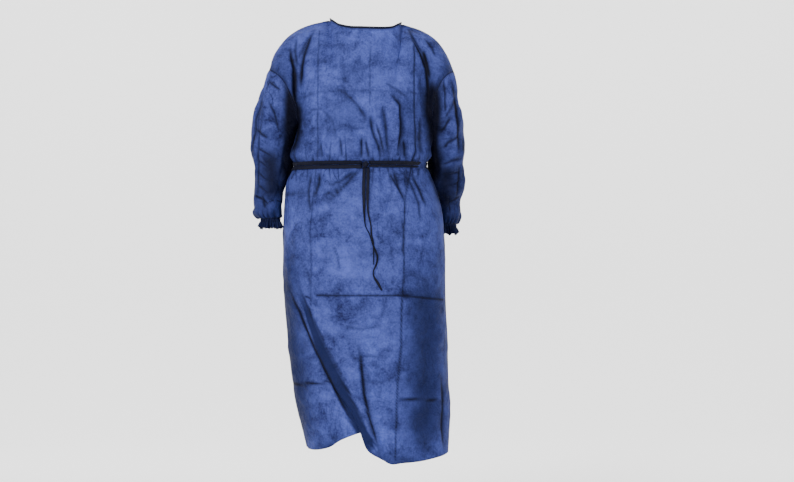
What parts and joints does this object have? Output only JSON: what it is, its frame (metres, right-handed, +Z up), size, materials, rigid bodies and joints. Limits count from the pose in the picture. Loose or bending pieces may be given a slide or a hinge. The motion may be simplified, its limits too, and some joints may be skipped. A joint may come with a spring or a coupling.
{
  "type": "visitor gown",
  "caption": "Sheer blue visitor gown in the shape it takes when worn, open at the back, with elastic cuffs and knotted waist ties.",
  "frame": {"origin": "middle of the neck opening at the top of the shoulders, from which the gown hangs on its wearer", "axes": "+Z up, +X to the wearer's left, -Y to the front"},
  "size_m": [0.5527, 0.3202, 1.1215],
  "materials": {
    "cloth": "sheer spunbond nonwoven, matt with a faint sheen",
    "cuff": "the same cloth, gathered tight on elastic",
    "binding_and_ties": "folded strips of near-black navy cloth"
  },
  "bodies": {
    "root": {"front_panel": "cloth", "back_right_panel": "cloth", "back_left_panel": "cloth", "sleeve_right": "cloth", "sleeve_left": "cloth", "cuff_right": "cuff", "cuff_left": "cuff", "neck_binding": "binding_and_ties", "waist_tie_upper": "binding_and_ties", "waist_tie_lower": "binding_and_ties", "waist_knot": "binding_and_ties", "tie_end_long": "binding_and_ties", "tie_end_short": "binding_and_ties"}
  },
  "joints": []
}
